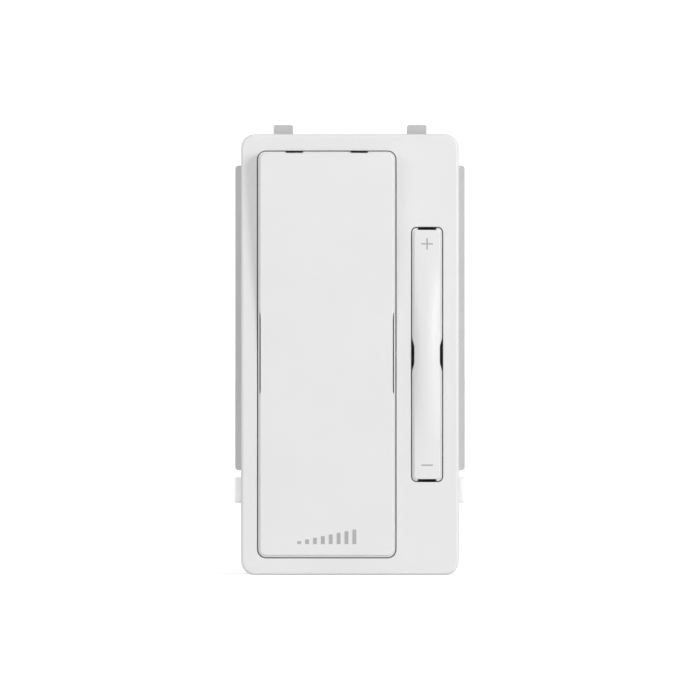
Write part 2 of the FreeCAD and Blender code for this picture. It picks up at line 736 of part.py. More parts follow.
def add_paddle_cuts(body, side):
    """On one side of the paddle: the slit beside the bend and the notch in the top ledge."""
    hand = "left" if side == "-" else "right"
    edge = f"paddle_centre {side} {PADDLE_CROWN}"
    pocket(
        body, f"slit_{hand}", "x", f"{edge} - slit_width / 2", f"{edge} + slit_width / 2",
        rectangle(
            "frame_front - 2 * paddle_proud", f"{PADDLE_LEDGE} + slit_depth", "bend_low", "bend_high"
        ),
    )
    middle = f"paddle_centre {side} notch_offset"
    pocket(
        body, f"top_notch_{hand}", "z",
        "paddle_tall / 2 - running_gap - notch_height", "paddle_tall / 2",
        rectangle(
            f"{middle} - notch_width / 2", f"{middle} + notch_width / 2", "2 * frame_front", "notch_back"
        ),
    )


# ---------------------------------------------------------------- dimming bar

BAR_HALF = "(bar_tall / 2 - running_gap)"
BAR_SIDE = "(bar_opening / 2 - running_gap)"
CROWN_HALF = f"({BAR_HALF} - bar_end_ledge)"
CROWN_STEPS = 8


def crown_outline(height):
    """Cross-section of the bar crown at one height: straight sides and a bulged front."""
    half = "(bar_crown / 2)"
    sag = f"(bar_bulge * cos(180 * {height} / bar_tall) ^ 2 + bar_least_bulge)"
    radius = f"(({half} ^ 2 + {sag} ^ 2) / (2 * {sag}))"
    left, right = f"bar_centre - {half}", f"bar_centre + {half}"
    return outline(
        (left, "bar_root"), (right, "bar_root"), (right, "bar_front"), (left, "bar_front", radius, -1)
    )


def add_bar_crown(body):
    """Crown lofted through sections along its length, so that it bulges most at mid length."""
    sections = []
    for step in range(CROWN_STEPS + 1):
        height = f"({CROWN_HALF} * {2 * step / CROWN_STEPS - 1})"
        sections.append(sketch_at(body, f"crown_{step}", "z", height, crown_outline(height)))
    loft = body.newObject("PartDesign::AdditiveLoft", "crown")
    loft.Profile = sections[0]
    loft.Sections = sections[1:]
    loft.Ruled = False
    near_front = size_of("bar_front + bar_least_bulge")
    round_edges(
        body, "crown_corners", "bar_crown_corner",
        lambda edge: runs_deep(edge) and edge.BoundBox.YMin < near_front,
    )
    all_near_front = size_of("bar_front + bar_round")
    round_edges(
        body, "crown_rounding", "bar_round",
        lambda edge: edge.BoundBox.YMin < near_front and edge.BoundBox.YMax < all_near_front,
    )


def make_dimming_bar():
    body = new_body("dimming_bar")
    pad(
        body, "ledge", "y", "bar_ledge_front", "bar_ledge_back",
        rounded(
            f"bar_centre - {BAR_SIDE}", f"bar_centre + {BAR_SIDE}",
            f"-{BAR_HALF}", BAR_HALF, "bar_corner - running_gap",
        ),
    )
    add_bar_crown(body)
    for hand, side in (("left", "-"), ("right", "+")):
        core = f"bar_centre {side} bar_crown / 2"
        mouth = f"bar_centre {side} bar_opening / 2"
        pocket(
            body, f"side_notch_{hand}", "y", "bar_ledge_front", "bar_ledge_back",
            outline(
                (mouth, "-bar_notch_mouth"), (mouth, "bar_notch_mouth"),
                (core, "bar_notch_core"), (core, "-bar_notch_core"),
            ),
        )
    for name, sign in (("upper", ""), ("lower", "-")):
        pocket(
            body, f"end_slot_{name}", "y", "bar_ledge_front", "bar_ledge_back",
            rectangle(
                "bar_centre - bar_slot_width / 2", "bar_centre + bar_slot_width / 2",
                *mirrored(sign, CROWN_HALF, "bar_tall / 2"),
            ),
        )
    pad(
        body, "stem", "y", "bar_ledge_back", "bar_back",
        rectangle(
            "bar_centre - bar_stem / 2", "bar_centre + bar_stem / 2",
            f"-({BAR_HALF} - bar_stem_inset)", f"{BAR_HALF} - bar_stem_inset",
        ),
    )
    for name, height in (("upper", "bar_arm"), ("lower", "-bar_arm")):
        pad(
            body, f"plunger_{name}", "y", "bar_back", "plunger_tip",
            square("bar_centre", height, "plunger_size / 2"),
        )
    pocket(
        body, "axle_hole", "x", "bar_centre - bar_stem", "bar_centre + bar_stem",
        disc("pivot_depth", "0", "bar_pin + pin_gap"),
    )
    return body


def make_axle(name):
    return rod(
        f"{name}_axle", "x", f"{name}_pin_left", f"{name}_pin_right", "pivot_depth", "0", f"{name}_pin"
    )


# ---------------------------------------------------------------- carrier

RIM_SIDE = "(rim_width / 2 - rim_wall)"
RIM_TOP = "(rim_height / 2 - rim_wall)"
PLATE_ROOT = "plate_back - root_overlap"
UPPER_POSTS = (("-post_side", "post_high"), ("post_side", "post_high"))
ALL_POSTS = UPPER_POSTS + (("post_low_side", "post_low"),)
CORNERS = [
    (f"{x_sign}pillar_side", f"{z_sign}pillar_height")
    for x_sign in ("-", "")
    for z_sign in ("-", "")
]


def add_ear(body, name, side):
    """A bearing ear on the front of the carrier plate, with its hole."""
    centre = f"{name}_centre {side} {name}_ear_offset"
    low, high = f"{centre} - {name}_ear_thick / 2", f"{centre} + {name}_ear_thick / 2"
    label = f"{name}_ear_{'left' if side == '-' else 'right'}"
    radius = f"{name}_ear_radius"
    pad(
        body, label + "_foot", "x", low, high,
        rectangle("pivot_depth", "plate_front + root_overlap", f"-{radius}", radius),
    )
    pad(body, label, "x", low, high, disc("pivot_depth", "0", radius))
    pocket(body, label + "_hole", "x", low, high, disc("pivot_depth", "0", f"{name}_pin"))


def add_carrier_windows(body):
    """Holes in the plate for the plungers and the frame's snap legs, and in the rim for the latches."""
    pocket(
        body, "paddle_windows", "y", "plate_front", "0",
        *[square("paddle_centre", f"{sign}paddle_arm", "paddle_window / 2") for sign in ("", "-")],
    )
    pocket(
        body, "bar_windows", "y", "plate_front", "0",
        *[
            rectangle(
                "bar_centre - bar_window_width / 2", "bar_centre + bar_window_width / 2",
                f"{sign}bar_arm - bar_window_height / 2", f"{sign}bar_arm + bar_window_height / 2",
            )
            for sign in ("", "-")
        ],
    )
    leg_span = (f"{FRAME_SIDE} - leg_thick - leg_play", f"{FRAME_SIDE} + leg_play")
    leg_half = "(leg_width / 2 + leg_play)"
    pocket(
        body, "leg_slots", "y", "plate_front", "0",
        *[
            rectangle(*mirrored(sign, *leg_span), f"{level} - {leg_half}", f"{level} + {leg_half}")
            for _, sign in HANDS
            for level in ("leg_upper", "leg_lower")
        ],
    )
    pocket(
        body, "latch_windows", "x", "-rim_width", "rim_width",
        rectangle(
            "hook_front - latch_fit", "latch_back + latch_fit",
            "latch_low - latch_fit", "latch_high + latch_fit",
        ),
    )


def add_latch_channel(body, hand, sign):
    """Walls behind the plate that guide a latch and hold its spring."""
    stop = f"{sign}spring_stop"
    back = f"{sign}(spring_stop - channel_stop)"
    rim = f"{sign}({RIM_SIDE} + channel_root)"
    low = "latch_low - flange_shoulder - channel_play"
    high = "latch_high + flange_shoulder + channel_play"
    pad(
        body, f"latch_channel_{hand}", "y", PLATE_ROOT, "channel_back",
        outline(
            (back, f"{low} - channel_wall"), (rim, f"{low} - channel_wall"), (rim, low), (stop, low),
            (stop, high), (rim, high), (rim, f"{high} + channel_wall"), (back, f"{high} + channel_wall"),
        ),
    )


def make_carrier():
    body = new_body("carrier")
    pad(
        body, "plate", "y", "plate_front", "plate_back",
        centred("frame_width", "frame_height", "frame_corner"),
    )
    pad(
        body, "strips", "y", "plate_front", "0",
        rounded("-strip_reach", "strip_reach", "strip_low", "strip_high", "strip_corner"),
    )
    pad(
        body, "rim", "y", PLATE_ROOT, "rim_back",
        centred("rim_width", "rim_height", "rim_corner"),
        rounded(f"-{RIM_SIDE}", RIM_SIDE, f"-{RIM_TOP}", RIM_TOP, "rim_corner - rim_wall"),
    )
    add_carrier_windows(body)
    for hand, sign in HANDS:
        pad(
            body, f"hook_{hand}", "y", "hook_front", "hook_back",
            rounded(
                f"{sign}hook_offset - hook_width / 2", f"{sign}hook_offset + hook_width / 2",
                "rim_height / 2 - hook_root", "hook_top", "hook_corner",
            ),
        )
        add_latch_channel(body, hand, sign)
    for name in ("paddle", "bar"):
        for side in "-+":
            add_ear(body, name, side)
    pad(body, "board_posts", "y", PLATE_ROOT, "board_front", *discs(ALL_POSTS, "post_radius"))
    pocket(
        body, "board_post_holes", "y", "post_hole_front", "board_front",
        *discs(ALL_POSTS, "small_screw + screw_play"),
    )
    pad(body, "pillars", "y", PLATE_ROOT, "rim_back", *discs(CORNERS, "pillar_radius"))
    pocket(
        body, "pillar_holes", "y", "pillar_hole_front", "rim_back",
        *discs(CORNERS, "long_screw + screw_play"),
    )
    return body


# ---------------------------------------------------------------- latches

LATCH_DEPTH = "(hook_front + latch_back) / 2"
LATCH_HEIGHT = "(latch_low + latch_high) / 2"


def make_latch(hand, sign):
    """Sliding latch: a nose with a sloping lead-in, a retaining flange and a peg for the spring."""
    body = new_body(f"latch_{hand}")
    inner = f"{sign}latch_inner"
    tip = f"{sign}latch_reach"
    pad(
        body, "nose", "z", "latch_low", "latch_high",
        outline(
            (inner, "hook_front"), (tip, "hook_front"), (tip, "hook_front + latch_flat"),
            (f"{sign}(latch_reach - latch_slope)", "latch_back"), (inner, "latch_back"),
        ),
    )
    pad(
        body, "flange", "y", "flange_front", "flange_back",
        rectangle(
            *mirrored(sign, "latch_inner", "latch_inner + flange_thick"),
            "latch_low - flange_shoulder", "latch_high + flange_shoulder",
        ),
    )
    pad(
        body, "spring_peg", "x", *mirrored(sign, "latch_inner - peg_length", "latch_inner"),
        disc(LATCH_DEPTH, LATCH_HEIGHT, "peg_radius"),
    )
    reach = size_of("latch_reach")
    round_edges(
        body, "nose_rounding", "latch_round",
        lambda edge: abs(edge.BoundBox.Center.x) > reach - TINY and edge.BoundBox.XLength < TINY,
    )
    return body


def make_latch_spring(hand, sign):
    """Compression spring between a latch and its stop; both springs are wound the same way."""
    label = f"latch_spring_{hand}"
    gap = "(spring_wire + spring_play)"
    length = f"(latch_inner - spring_stop - 2 * {gap})"
    start = f"-latch_inner + {gap}" if sign else f"spring_stop + {gap}"
    helix = document.addObject("Part::Helix", label + "_path")
    helix.Placement = Placement(Vector(), TURNS["x"])
    put(helix, Height=length, Pitch=f"{length} / spring_turns", Radius="spring_coil")
    put(helix, Placement__Base__x=start, Placement__Base__y=LATCH_DEPTH, Placement__Base__z=LATCH_HEIGHT)
    wire = document.addObject("Part::Circle", label + "_wire")
    wire.Placement = Placement(Vector(), Rotation(Vector(1, 0, 0), 90))
    put(wire, Radius="spring_wire", Placement__Base__x=start, Placement__Base__y=LATCH_DEPTH)
    put(wire, Placement__Base__z=f"{LATCH_HEIGHT} - spring_coil")
    sweep = document.addObject("Part::Sweep", label)
    sweep.Sections = [wire]
    sweep.Spine = (helix, ["Edge1"])
    sweep.Solid = True
    sweep.Frenet = True
    return sweep


# ---------------------------------------------------------------- control board

BOARD_BACK = "board_front + board_thick"
BUTTON_PLACES = {
    "paddle_on_button": ("paddle_centre", "paddle_arm"),
    "paddle_off_button": ("paddle_centre", "-paddle_arm"),
    "bar_plus_button": ("bar_centre", "bar_arm"),
    "bar_minus_button": ("bar_centre", "-bar_arm"),
}
PIN_PLACES = [f"{step - 2.5} * pin_pitch" for step in range(6)]


def make_tact_switch_bodies():
    bodies = []
    for name, (across, up) in BUTTON_PLACES.items():
        case = block(
            name + "_case", f"{across} - tact_size / 2", f"{across} + tact_size / 2",
            "tact_front", "board_front", f"{up} - tact_size / 2", f"{up} + tact_size / 2",
        )
        well = rod(
            name + "_well", "y", "tact_button_front", "tact_front + tact_well", across, up,
            "tact_button + pin_gap",
        )
        bodies.append(cut(name + "_switch", case, well))
    return group("tact_switch_bodies", bodies)


def make_button(name):
    across, up = BUTTON_PLACES[name]
    return rod(name, "y", "tact_button_front", "tact_front + tact_button_root", across, up, "tact_button")


def pin_holes(play):
    return [square(across, "post_high", f"(pin_side / 2 + {play})") for across in PIN_PLACES]


def make_board(label, front, back, posts):
    body = new_body(label)
    pad(body, "laminate", "y", front, back, centred("board_width", "board_height", "board_corner"))
    pocket(body, "pin_holes", "y", front, back, *pin_holes("pin_hole_play"))
    pocket(body, "screw_holes", "y", front, back, *discs(posts, "small_screw + screw_play"))
    return body


def make_control_chip():
    half = "chip_size / 2"
    top = f"{BOARD_BACK} + chip_thick"
    package = block("chip_package", f"-{half}", half, BOARD_BACK, top, f"-{half}", half)
    mark = rod(
        "chip_mark", "y", f"{top} - chip_dot_depth", f"{top} + chip_dot_depth",
        "-chip_dot_offset", "chip_dot_offset", "chip_dot",
    )
    return cut("control_chip", package, mark)


def make_board_screws():
    screws = [
        screw(f"board_screw_{index}", "small", "y", "+", BOARD_BACK, "small_screw_tip", across, up)
        for index, (across, up) in enumerate(ALL_POSTS)
    ]
    return group("board_screws", screws)


def make_board_header():
    body = new_body("board_header")
    pad(
        body, "strip", "y", BOARD_BACK, "power_front",
        rectangle(
            "-header_length / 2", "header_length / 2",
            "post_high - header_depth / 2", "post_high + header_depth / 2",
        ),
    )
    pocket(body, "pin_holes", "y", BOARD_BACK, "power_front", *pin_holes("0"))
    return body


def make_header_pins():
    pins = [
        block(
            f"header_pin_{index}", f"{across} - pin_side / 2", f"{across} + pin_side / 2",
            "board_front", "power_back + pin_tail", "post_high - pin_side / 2", "post_high + pin_side / 2",
        )
        for index, across in enumerate(PIN_PLACES)
    ]
    return group("header_pins", pins)


# ---------------------------------------------------------------- power board

SINK_BACK = "power_back + sink_thick"


def make_power_board_screws():
    tip = "power_back + power_screw_length"
    screws = [
        screw(f"power_screw_{index}", "small", "y", "-", "power_front", tip, across, up)
        for index, (across, up) in enumerate(UPPER_POSTS)
    ]
    return group("power_board_screws", screws)


def make_heat_sink():
    plate = block("sink_plate", "sink_left", "sink_right", "power_back", SINK_BACK, "sink_low", "sink_high")
    hole = rod(
        "sink_hole", "y", "power_front", f"{SINK_BACK} + 1", "triac_side", "triac_screw_height",
        "tab_screw + screw_play",
    )
    return cut("heat_sink", plate, hole)


def make_triac():
    """Three-leg power package lying on the heat sink, legs bent down to the board."""
    sides = ("triac_side - triac_width / 2", "triac_side + triac_width / 2")
    case_back = f"{SINK_BACK} + triac_depth"
    tab_back = f"{SINK_BACK} + triac_tab_depth"
    case = block("triac_case", *sides, SINK_BACK, case_back, "triac_low", "triac_high")
    tab = block("triac_tab", *sides, SINK_BACK, tab_back, "triac_high", "triac_tab_high")
    hole = rod(
        "triac_tab_hole", "y", "power_back", case_back, "triac_side", "triac_screw_height", "triac_hole"
    )
    leg_front = f"{SINK_BACK} + leg_level"
    leg_back = f"{leg_front} + leg_depth"
    leg_top = "triac_low + root_overlap"
    foot_top = "leg_low + leg_depth"
    legs = []
    for index in range(3):
        middle = f"triac_side + {index - 1} * pin_pitch"
        sides = (f"{middle} - leg_side / 2", f"{middle} + leg_side / 2")
        legs.append(block(f"triac_leg_{index}", *sides, leg_front, leg_back, "leg_low", leg_top))
        legs.append(block(f"triac_foot_{index}", *sides, "power_back", leg_back, "leg_low", foot_top))
    return fuse("triac", case, cut("triac_drilled_tab", tab, hole), *legs)


def make_triac_screw():
    seat = f"{SINK_BACK} + triac_tab_depth"
    return screw(
        "triac_screw", "tab", "y", "+", seat, "power_back + screw_play", "triac_side", "triac_screw_height"
    )


CORE_SPAN = ("(power_back + choke_wire)", "(power_back + choke_wire + choke_depth)")
WINDING_SPAN = ("power_back", "(power_back + 2 * choke_wire + choke_depth)")


def ring(label, angle, *shapes):
    """Ring around the choke's axis, which runs along Y."""
    body = new_body(label)
    section = sketch_at(body, "section", "z", "choke_height", *shapes)
    across = size_of("choke_side")
    start, end = (Vector(across, size_of(up), 0) for up in ("axis_start", "choke_axis_length"))
    axis = section.addGeometry(Part.LineSegment(start, end))
    section.toggleConstruction(axis)
    section.addConstraint(Sketcher.Constraint("Vertical", axis))
    bind(section, "choke_side", "DistanceX", axis, 1)
    bind(section, "axis_start", "DistanceY", axis, 1)
    bind(section, "choke_axis_length", "DistanceY", axis, 2)
    feature = body.newObject("PartDesign::Revolution", "ring")
    feature.Profile = section
    feature.ReferenceAxis = (section, ["Axis0"])
    feature.Angle = angle
    feature.Midplane = True
    return body


def choke_section(extra, span):
    return rectangle(
        f"choke_side + choke_inner - {extra}", f"choke_side + choke_outer + {extra}", *span
    )


def make_choke_core():
    return ring("choke_core", 360, choke_section("0", CORE_SPAN))


def make_choke_winding():
    """Sleeve around most of the core; the rest of the ring stays bare."""
    bare = choke_section("0", CORE_SPAN)
    wound = choke_section("choke_wire", WINDING_SPAN)
    return ring("choke_winding", 300, bare, wound)


def make_film_capacitor():
    body = new_body("film_capacitor")
    rear = "power_back + film_depth"
    pad(
        body, "case", "y", "power_back", rear,
        rounded("film_left", "film_right", "film_low", "film_high", "film_corner"),
    )
    round_edges(body, "edges", "film_edge", lies_at(rear))
    return body


def make_electrolytic_capacitor():
    body = new_body("electrolytic_capacitor")
    rear = "power_back + can_depth"
    pad(body, "can", "y", "power_back", rear, disc("can_side", "can_height", "can_radius"))
    round_edges(body, "shoulder", "can_edge", lies_at(rear))
    pocket(
        body, "vent", "y", f"{rear} - vent_depth", rear,
        rectangle(
            "can_side - vent_length / 2", "can_side + vent_length / 2",
            "can_height - vent_width / 2", "can_height + vent_width / 2",
        ),
    )
    return body


def make_fuse():
    body = new_body("fuse")
    rear = "power_back + fuse_depth"
    pad(body, "case", "y", "power_back", rear, disc("fuse_side", "fuse_height", "fuse_radius"))
    round_edges(body, "shoulder", "fuse_edge", lies_at(rear))
    return body


# ---------------------------------------------------------------- terminals

TERMINAL_PLACES = ("-terminal_pitch", "0", "terminal_pitch")


def make_terminal_blocks():
    blocks = []
    for index, across in enumerate(TERMINAL_PLACES):
        name = f"terminal_{index}"
        brass = block(
            name + "_brass", f"{across} - terminal_width / 2", f"{across} + terminal_width / 2",
            "power_back", "terminal_back", "terminal_low", "terminal_high",
        )
        wire = rod(
            name + "_wire", "y", "terminal_back - wire_depth", "tub_back", across, "wire_height",
            "wire_hole",
        )
        thread = rod(
            name + "_thread", "z", "clamp_seat", "wire_height", across, "clamp_depth",
            "clamp_screw + screw_play",
        )
        blocks.append(cut(name, brass, wire, thread))
    return group("terminal_blocks", blocks)


def make_terminal_screws():
    """Clamping screws that enter the terminal blocks from below; slotted heads face down."""
    tip = "wire_height - wire_hole - clamp_gap"
    screws = [
        screw(f"clamp_screw_{index}", "clamp", "z", "-", "clamp_seat", tip, across, "clamp_depth")
        for index, across in enumerate(TERMINAL_PLACES)
    ]
    return group("terminal_screws", screws)


# ---------------------------------------------------------------- rear housing

TUB_SIDE = "(rim_width / 2 - tub_wall)"
TUB_TOP = "(rim_height / 2 - tub_wall)"
TUB_FLOOR = "(tub_back - tub_floor)"
HEAD_SEAT = "tub_back - head_recess"


def make_rear_housing():
    body = new_body("rear_housing")
    pad(body, "tub", "y", "rim_back", "tub_back", centred("rim_width", "rim_height", "rim_corner"))
    round_edges(body, "rear_edge", "tub_edge", lies_at("tub_back"))
    pocket(
        body, "cavity", "y", "rim_back", TUB_FLOOR,
        rounded(f"-{TUB_SIDE}", TUB_SIDE, f"-{TUB_TOP}", TUB_TOP, "tub_inner_corner"),
    )
    post_end = f"{TUB_FLOOR} + root_overlap"
    pad(body, "pillars", "y", "rim_back", post_end, *discs(CORNERS, "pillar_radius"))
    pad(body, "board_posts", "y", "power_back", post_end, *discs(UPPER_POSTS, "board_post"))
    pocket(body, "screw_holes", "y", "rim_back", "tub_back", *discs(CORNERS, "long_screw + tub_screw_play"))
    pocket(body, "head_recesses", "y", HEAD_SEAT, "tub_back", *discs(CORNERS, "long_head + recess_play"))
    pocket(
        body, "board_post_holes", "y", "power_back", "power_back + board_post_hole",
        *discs(UPPER_POSTS, "small_screw + screw_play"),
    )
    pocket(
        body, "wire_entries", "y", TUB_FLOOR, "tub_back",
        *discs([(across, "wire_height") for across in TERMINAL_PLACES], "wire_hole"),
    )
    pocket(
        body, "driver_holes", "z", "-rim_height / 2", f"-{TUB_TOP}",
        *discs([(across, "clamp_depth") for across in TERMINAL_PLACES], "driver_hole"),
    )
    pocket(
        body, "label_recess", "y", "tub_back - label_depth", "tub_back",
        rounded("-label_width / 2", "label_width / 2", "label_low", "label_high", "label_corner"),
    )
    return body


def make_housing_screws():
    screws = [
        screw(f"housing_screw_{index}", "long", "y", "+", HEAD_SEAT, "long_screw_tip", across, up)
        for index, (across, up) in enumerate(CORNERS)
    ]
    return group("housing_screws", screws)


# ---------------------------------------------------------------- build, check, write


def make_all():
    parts = [
        make_face_frame(),
        make_paddle(),
        make_dimming_bar(),
        make_carrier(),
        make_axle("paddle"),
        make_axle("bar"),
    ]
    for hand, sign in HANDS:
        parts.append(make_latch(hand, sign))
        parts.append(make_latch_spring(hand, sign))
    parts.append(make_tact_switch_bodies())
    parts += [make_button(name) for name in BUTTON_PLACES]
    parts += [
        make_board("control_board", "board_front", BOARD_BACK, ALL_POSTS),
        make_control_chip(),
        make_board_screws(),
        make_board_header(),
        make_header_pins(),
        make_board("power_board", "power_front", "power_back", UPPER_POSTS),
        make_power_board_screws(),
        make_heat_sink(),
        make_triac(),
        make_triac_screw(),
        make_choke_core(),
        make_choke_winding(),
        make_film_capacitor(),
        make_electrolytic_capacitor(),
        make_fuse(),
        make_terminal_blocks(),
        make_terminal_screws(),
        make_rear_housing(),
        make_housing_screws(),
    ]
    return parts


def check(parts):
    for item in document.Objects:
        if "Invalid" in item.State or "Error" in item.State:
            raise RuntimeError(f"{item.Label} failed: {item.State}")
    for part in parts:
        if part.Shape.isNull() or not part.Shape.isValid() or not part.Shape.Solids:
            raise RuntimeError(f"{part.Label} has no valid shape")


def write(parts):
    os.makedirs("parts", exist_ok=True)
    for part in parts:
        part.Shape.exportStep(f"parts/{part.Label}.step")
        print(part.Label, len(part.Shape.Solids), round(part.Shape.Volume, 2))


fill_sheet()
sub_parts = make_all()
document.recompute()
check(sub_parts)
write(sub_parts)
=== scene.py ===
import json
import math

import bmesh
import bpy
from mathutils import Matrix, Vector
from mathutils.bvhtree import BVHTree

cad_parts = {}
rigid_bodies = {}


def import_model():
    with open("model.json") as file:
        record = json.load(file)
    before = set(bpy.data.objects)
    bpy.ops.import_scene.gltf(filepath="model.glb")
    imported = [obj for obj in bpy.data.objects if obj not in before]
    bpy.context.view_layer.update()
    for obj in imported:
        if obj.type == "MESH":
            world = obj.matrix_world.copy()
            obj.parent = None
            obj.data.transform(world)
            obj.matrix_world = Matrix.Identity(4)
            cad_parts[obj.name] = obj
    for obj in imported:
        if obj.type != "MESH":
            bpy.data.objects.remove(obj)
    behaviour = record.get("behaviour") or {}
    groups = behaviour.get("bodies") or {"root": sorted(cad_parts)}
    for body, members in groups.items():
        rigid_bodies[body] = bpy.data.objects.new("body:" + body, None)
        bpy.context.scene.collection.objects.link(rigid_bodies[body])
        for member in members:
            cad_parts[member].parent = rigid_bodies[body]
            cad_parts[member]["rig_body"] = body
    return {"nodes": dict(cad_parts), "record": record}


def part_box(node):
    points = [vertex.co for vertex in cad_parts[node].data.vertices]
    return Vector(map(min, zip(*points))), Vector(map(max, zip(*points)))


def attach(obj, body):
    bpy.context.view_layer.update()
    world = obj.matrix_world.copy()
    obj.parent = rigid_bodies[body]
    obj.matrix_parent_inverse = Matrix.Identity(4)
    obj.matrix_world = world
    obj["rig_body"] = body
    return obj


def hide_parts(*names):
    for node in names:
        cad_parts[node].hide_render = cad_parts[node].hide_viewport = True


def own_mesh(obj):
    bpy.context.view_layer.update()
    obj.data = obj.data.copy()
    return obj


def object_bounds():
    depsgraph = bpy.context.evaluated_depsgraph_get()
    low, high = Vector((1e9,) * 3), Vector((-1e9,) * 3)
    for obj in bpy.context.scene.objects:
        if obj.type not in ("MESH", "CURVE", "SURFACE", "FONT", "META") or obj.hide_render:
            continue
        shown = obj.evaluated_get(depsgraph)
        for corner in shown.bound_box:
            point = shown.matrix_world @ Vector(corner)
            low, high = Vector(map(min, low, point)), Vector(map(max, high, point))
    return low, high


# The dimmer module's looks: moulded plastics, printed marks, a blank label, the studio and the camera.
# Metres, in the frame of the CAD part: X to the right, Z up, -Y towards the user.

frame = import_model()
cad_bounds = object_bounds()
nodes = frame["nodes"]

MM = 0.001

# The surround's strength is the level plus the slope times the direction, so it grows towards the top.
WORLD_LEVEL = 0.33
WORLD_SLOPE = (0.0, 0.0, 0.33)

# Lower and upper edge of the blank label on the back.
LABEL_LOW = -11.8 * MM
LABEL_HIGH = 15.8 * MM
LABEL_FIELDS = 3

# Extra glow that the camera sees on the floor, so that it shows as plain white.
FLOOR_LIFT = 0.60

# Name, place, side length and power in watts of each soft lamp.
LAMPS = (
    ("key", (0.70, -0.70, 0.30), 0.35, 4.16),
    ("fill", (-0.60, -0.70, 0.30), 0.5, 1.98),
    ("side", (0.80, -0.25, 0.10), 0.4, 0.78),
)


# ---------------------------------------------------------------- node helpers


class Graph:
    """A material with one Principled shader, and short calls to wire nodes into it."""

    def __init__(self, name, **settings):
        self.material = bpy.data.materials.new(name)
        self.material.use_nodes = True
        self.tree = self.material.node_tree
        self.shader = self.tree.nodes["Principled BSDF"]
        self.place = self.add("ShaderNodeTexCoord").outputs["Object"]
        self.set(**settings)

    def add(self, kind, **inputs):
        """A node, its inputs set to values or linked from sockets; underscores stand for spaces."""
        node = self.tree.nodes.new(kind)
        for name, value in inputs.items():
            self.feed(node.inputs[name.replace("_", " ")], value)
        return node

    def feed(self, socket, value):
        """Links a socket to an input, or sets the input to a value."""
        if isinstance(value, bpy.types.NodeSocket):
            self.tree.links.new(value, socket)
        else:
            socket.default_value = value

    def set(self, **inputs):
        """Values or sockets for the shader's own inputs."""
        for name, value in inputs.items():
            self.feed(self.shader.inputs[name.replace("_", " ")], value)

    def scaled(self, stretch):
        """The place in metres, stretched along the three axes."""
        return self.add("ShaderNodeMapping", Vector=self.place, Scale=stretch).outputs["Vector"]

    def noise(self, size, detail=2.0, stretch=(1, 1, 1)):
        """Noise whose features measure about size metres."""
        return self.add(
            "ShaderNodeTexNoise", Vector=self.scaled(stretch), Scale=1 / size, Detail=detail
        ).outputs["Fac"]

    def pits(self, size):
        """Rounded cells of about size metres, as left by spark erosion."""
        cells = self.add("ShaderNodeTexVoronoi", Vector=self.place, Scale=1 / size)
        return cells.outputs["Distance"]

    def span(self, factor, low, high):
        """Maps the middle of a noise, 0.3 to 0.7, onto low to high."""
        node = self.add("ShaderNodeMapRange", Value=factor)
        for name, value in (("From Min", 0.3), ("From Max", 0.7), ("To Min", low), ("To Max", high)):
            node.inputs[name].default_value = value
        return node.outputs["Result"]

    def math(self, operation, *values):
        """One arithmetic step on numbers or sockets."""
        node = self.tree.nodes.new("ShaderNodeMath")
        node.operation = operation
        for socket, value in zip(node.inputs, values):
            self.feed(socket, value)
        return node.outputs["Value"]

    def mix(self, factor, first, second):
        """A colour between two colours, each a tuple or a socket."""
        node = self.tree.nodes.new("ShaderNodeMix")
        node.data_type = "RGBA"
        for socket, value in zip((node.inputs[0], node.inputs[6], node.inputs[7]), (factor, first, second)):
            self.feed(socket, rgba(value) if isinstance(value, tuple) else value)
        return node.outputs[2]

    def bump(self, *layers):
        """Stacks bump layers of (height socket, depth in metres, strength) on the shader's normal."""
        normal = None
        for height, depth, strength in layers:
            node = self.add("ShaderNodeBump", Height=height, Distance=depth, Strength=strength)
            if normal is not None:
                self.feed(node.inputs["Normal"], normal)
            normal = node.outputs["Normal"]
        self.set(Normal=normal)


def rgba(color):
    return (*color, 1.0)


def grey(level):
    return (level, level, level)


# ---------------------------------------------------------------- materials


def moulded(name, dark, light, rough, grain=0.22 * MM, relief=0.010 * MM, **settings):
    """Moulded plastic: faint clouds in the colour, uneven sheen and a fine satin grain."""
    graph = Graph(name, **settings)
    clouds = graph.span(graph.noise(9 * MM, detail=4.0), 0.0, 1.0)
    graph.set(Base_Color=graph.mix(clouds, dark, light))
    sheen = graph.noise(1.6 * MM, detail=3.0)
    graph.set(Roughness=graph.span(sheen, rough - 0.04, rough + 0.04))
    fine = graph.noise(grain, detail=3.0)
    waves = graph.noise(7 * MM, detail=1.0)
    graph.bump((waves, 0.02 * MM, 0.15), (fine, relief, 0.35))
    return graph


def white_plastic():
    return moulded("white_plastic", grey(0.795), grey(0.812), 0.36)


def grey_plastic():
    return moulded("grey_plastic", grey(0.60), grey(0.63), 0.50, relief=0.014 * MM)


def natural_nylon():
    """Unpigmented nylon: light travels through it, and a faint glow stands in for part of that light."""
    graph = moulded("natural_nylon", (0.975, 0.975, 0.965), (0.995, 0.995, 0.99), 0.42)
    graph.set(Subsurface_Weight=1.0, Subsurface_Scale=3.0 * MM, Subsurface_Radius=(1.0, 0.95, 0.9))
    graph.set(Emission_Color=rgba(grey(1.0)), Emission_Strength=0.16)
    return graph


def dark_plastic():
    """Tub moulding with a coarse spark-eroded texture."""
    graph = Graph("dark_plastic")
    patches = graph.span(graph.noise(6 * MM, detail=5.0), 0.0, 1.0)
    graph.set(Base_Color=graph.mix(patches, (0.016, 0.016, 0.018), (0.026, 0.026, 0.029)))
    graph.set(Roughness=graph.span(graph.noise(0.9 * MM, detail=3.0), 0.58, 0.70))
    graph.bump((graph.noise(8 * MM, detail=1.0), 0.03 * MM, 0.2), (graph.pits(0.30 * MM), 0.02 * MM, 0.4))
    return graph


def switch_case():
    return moulded("switch_case", grey(0.014), grey(0.022), 0.52, grain=0.15 * MM)


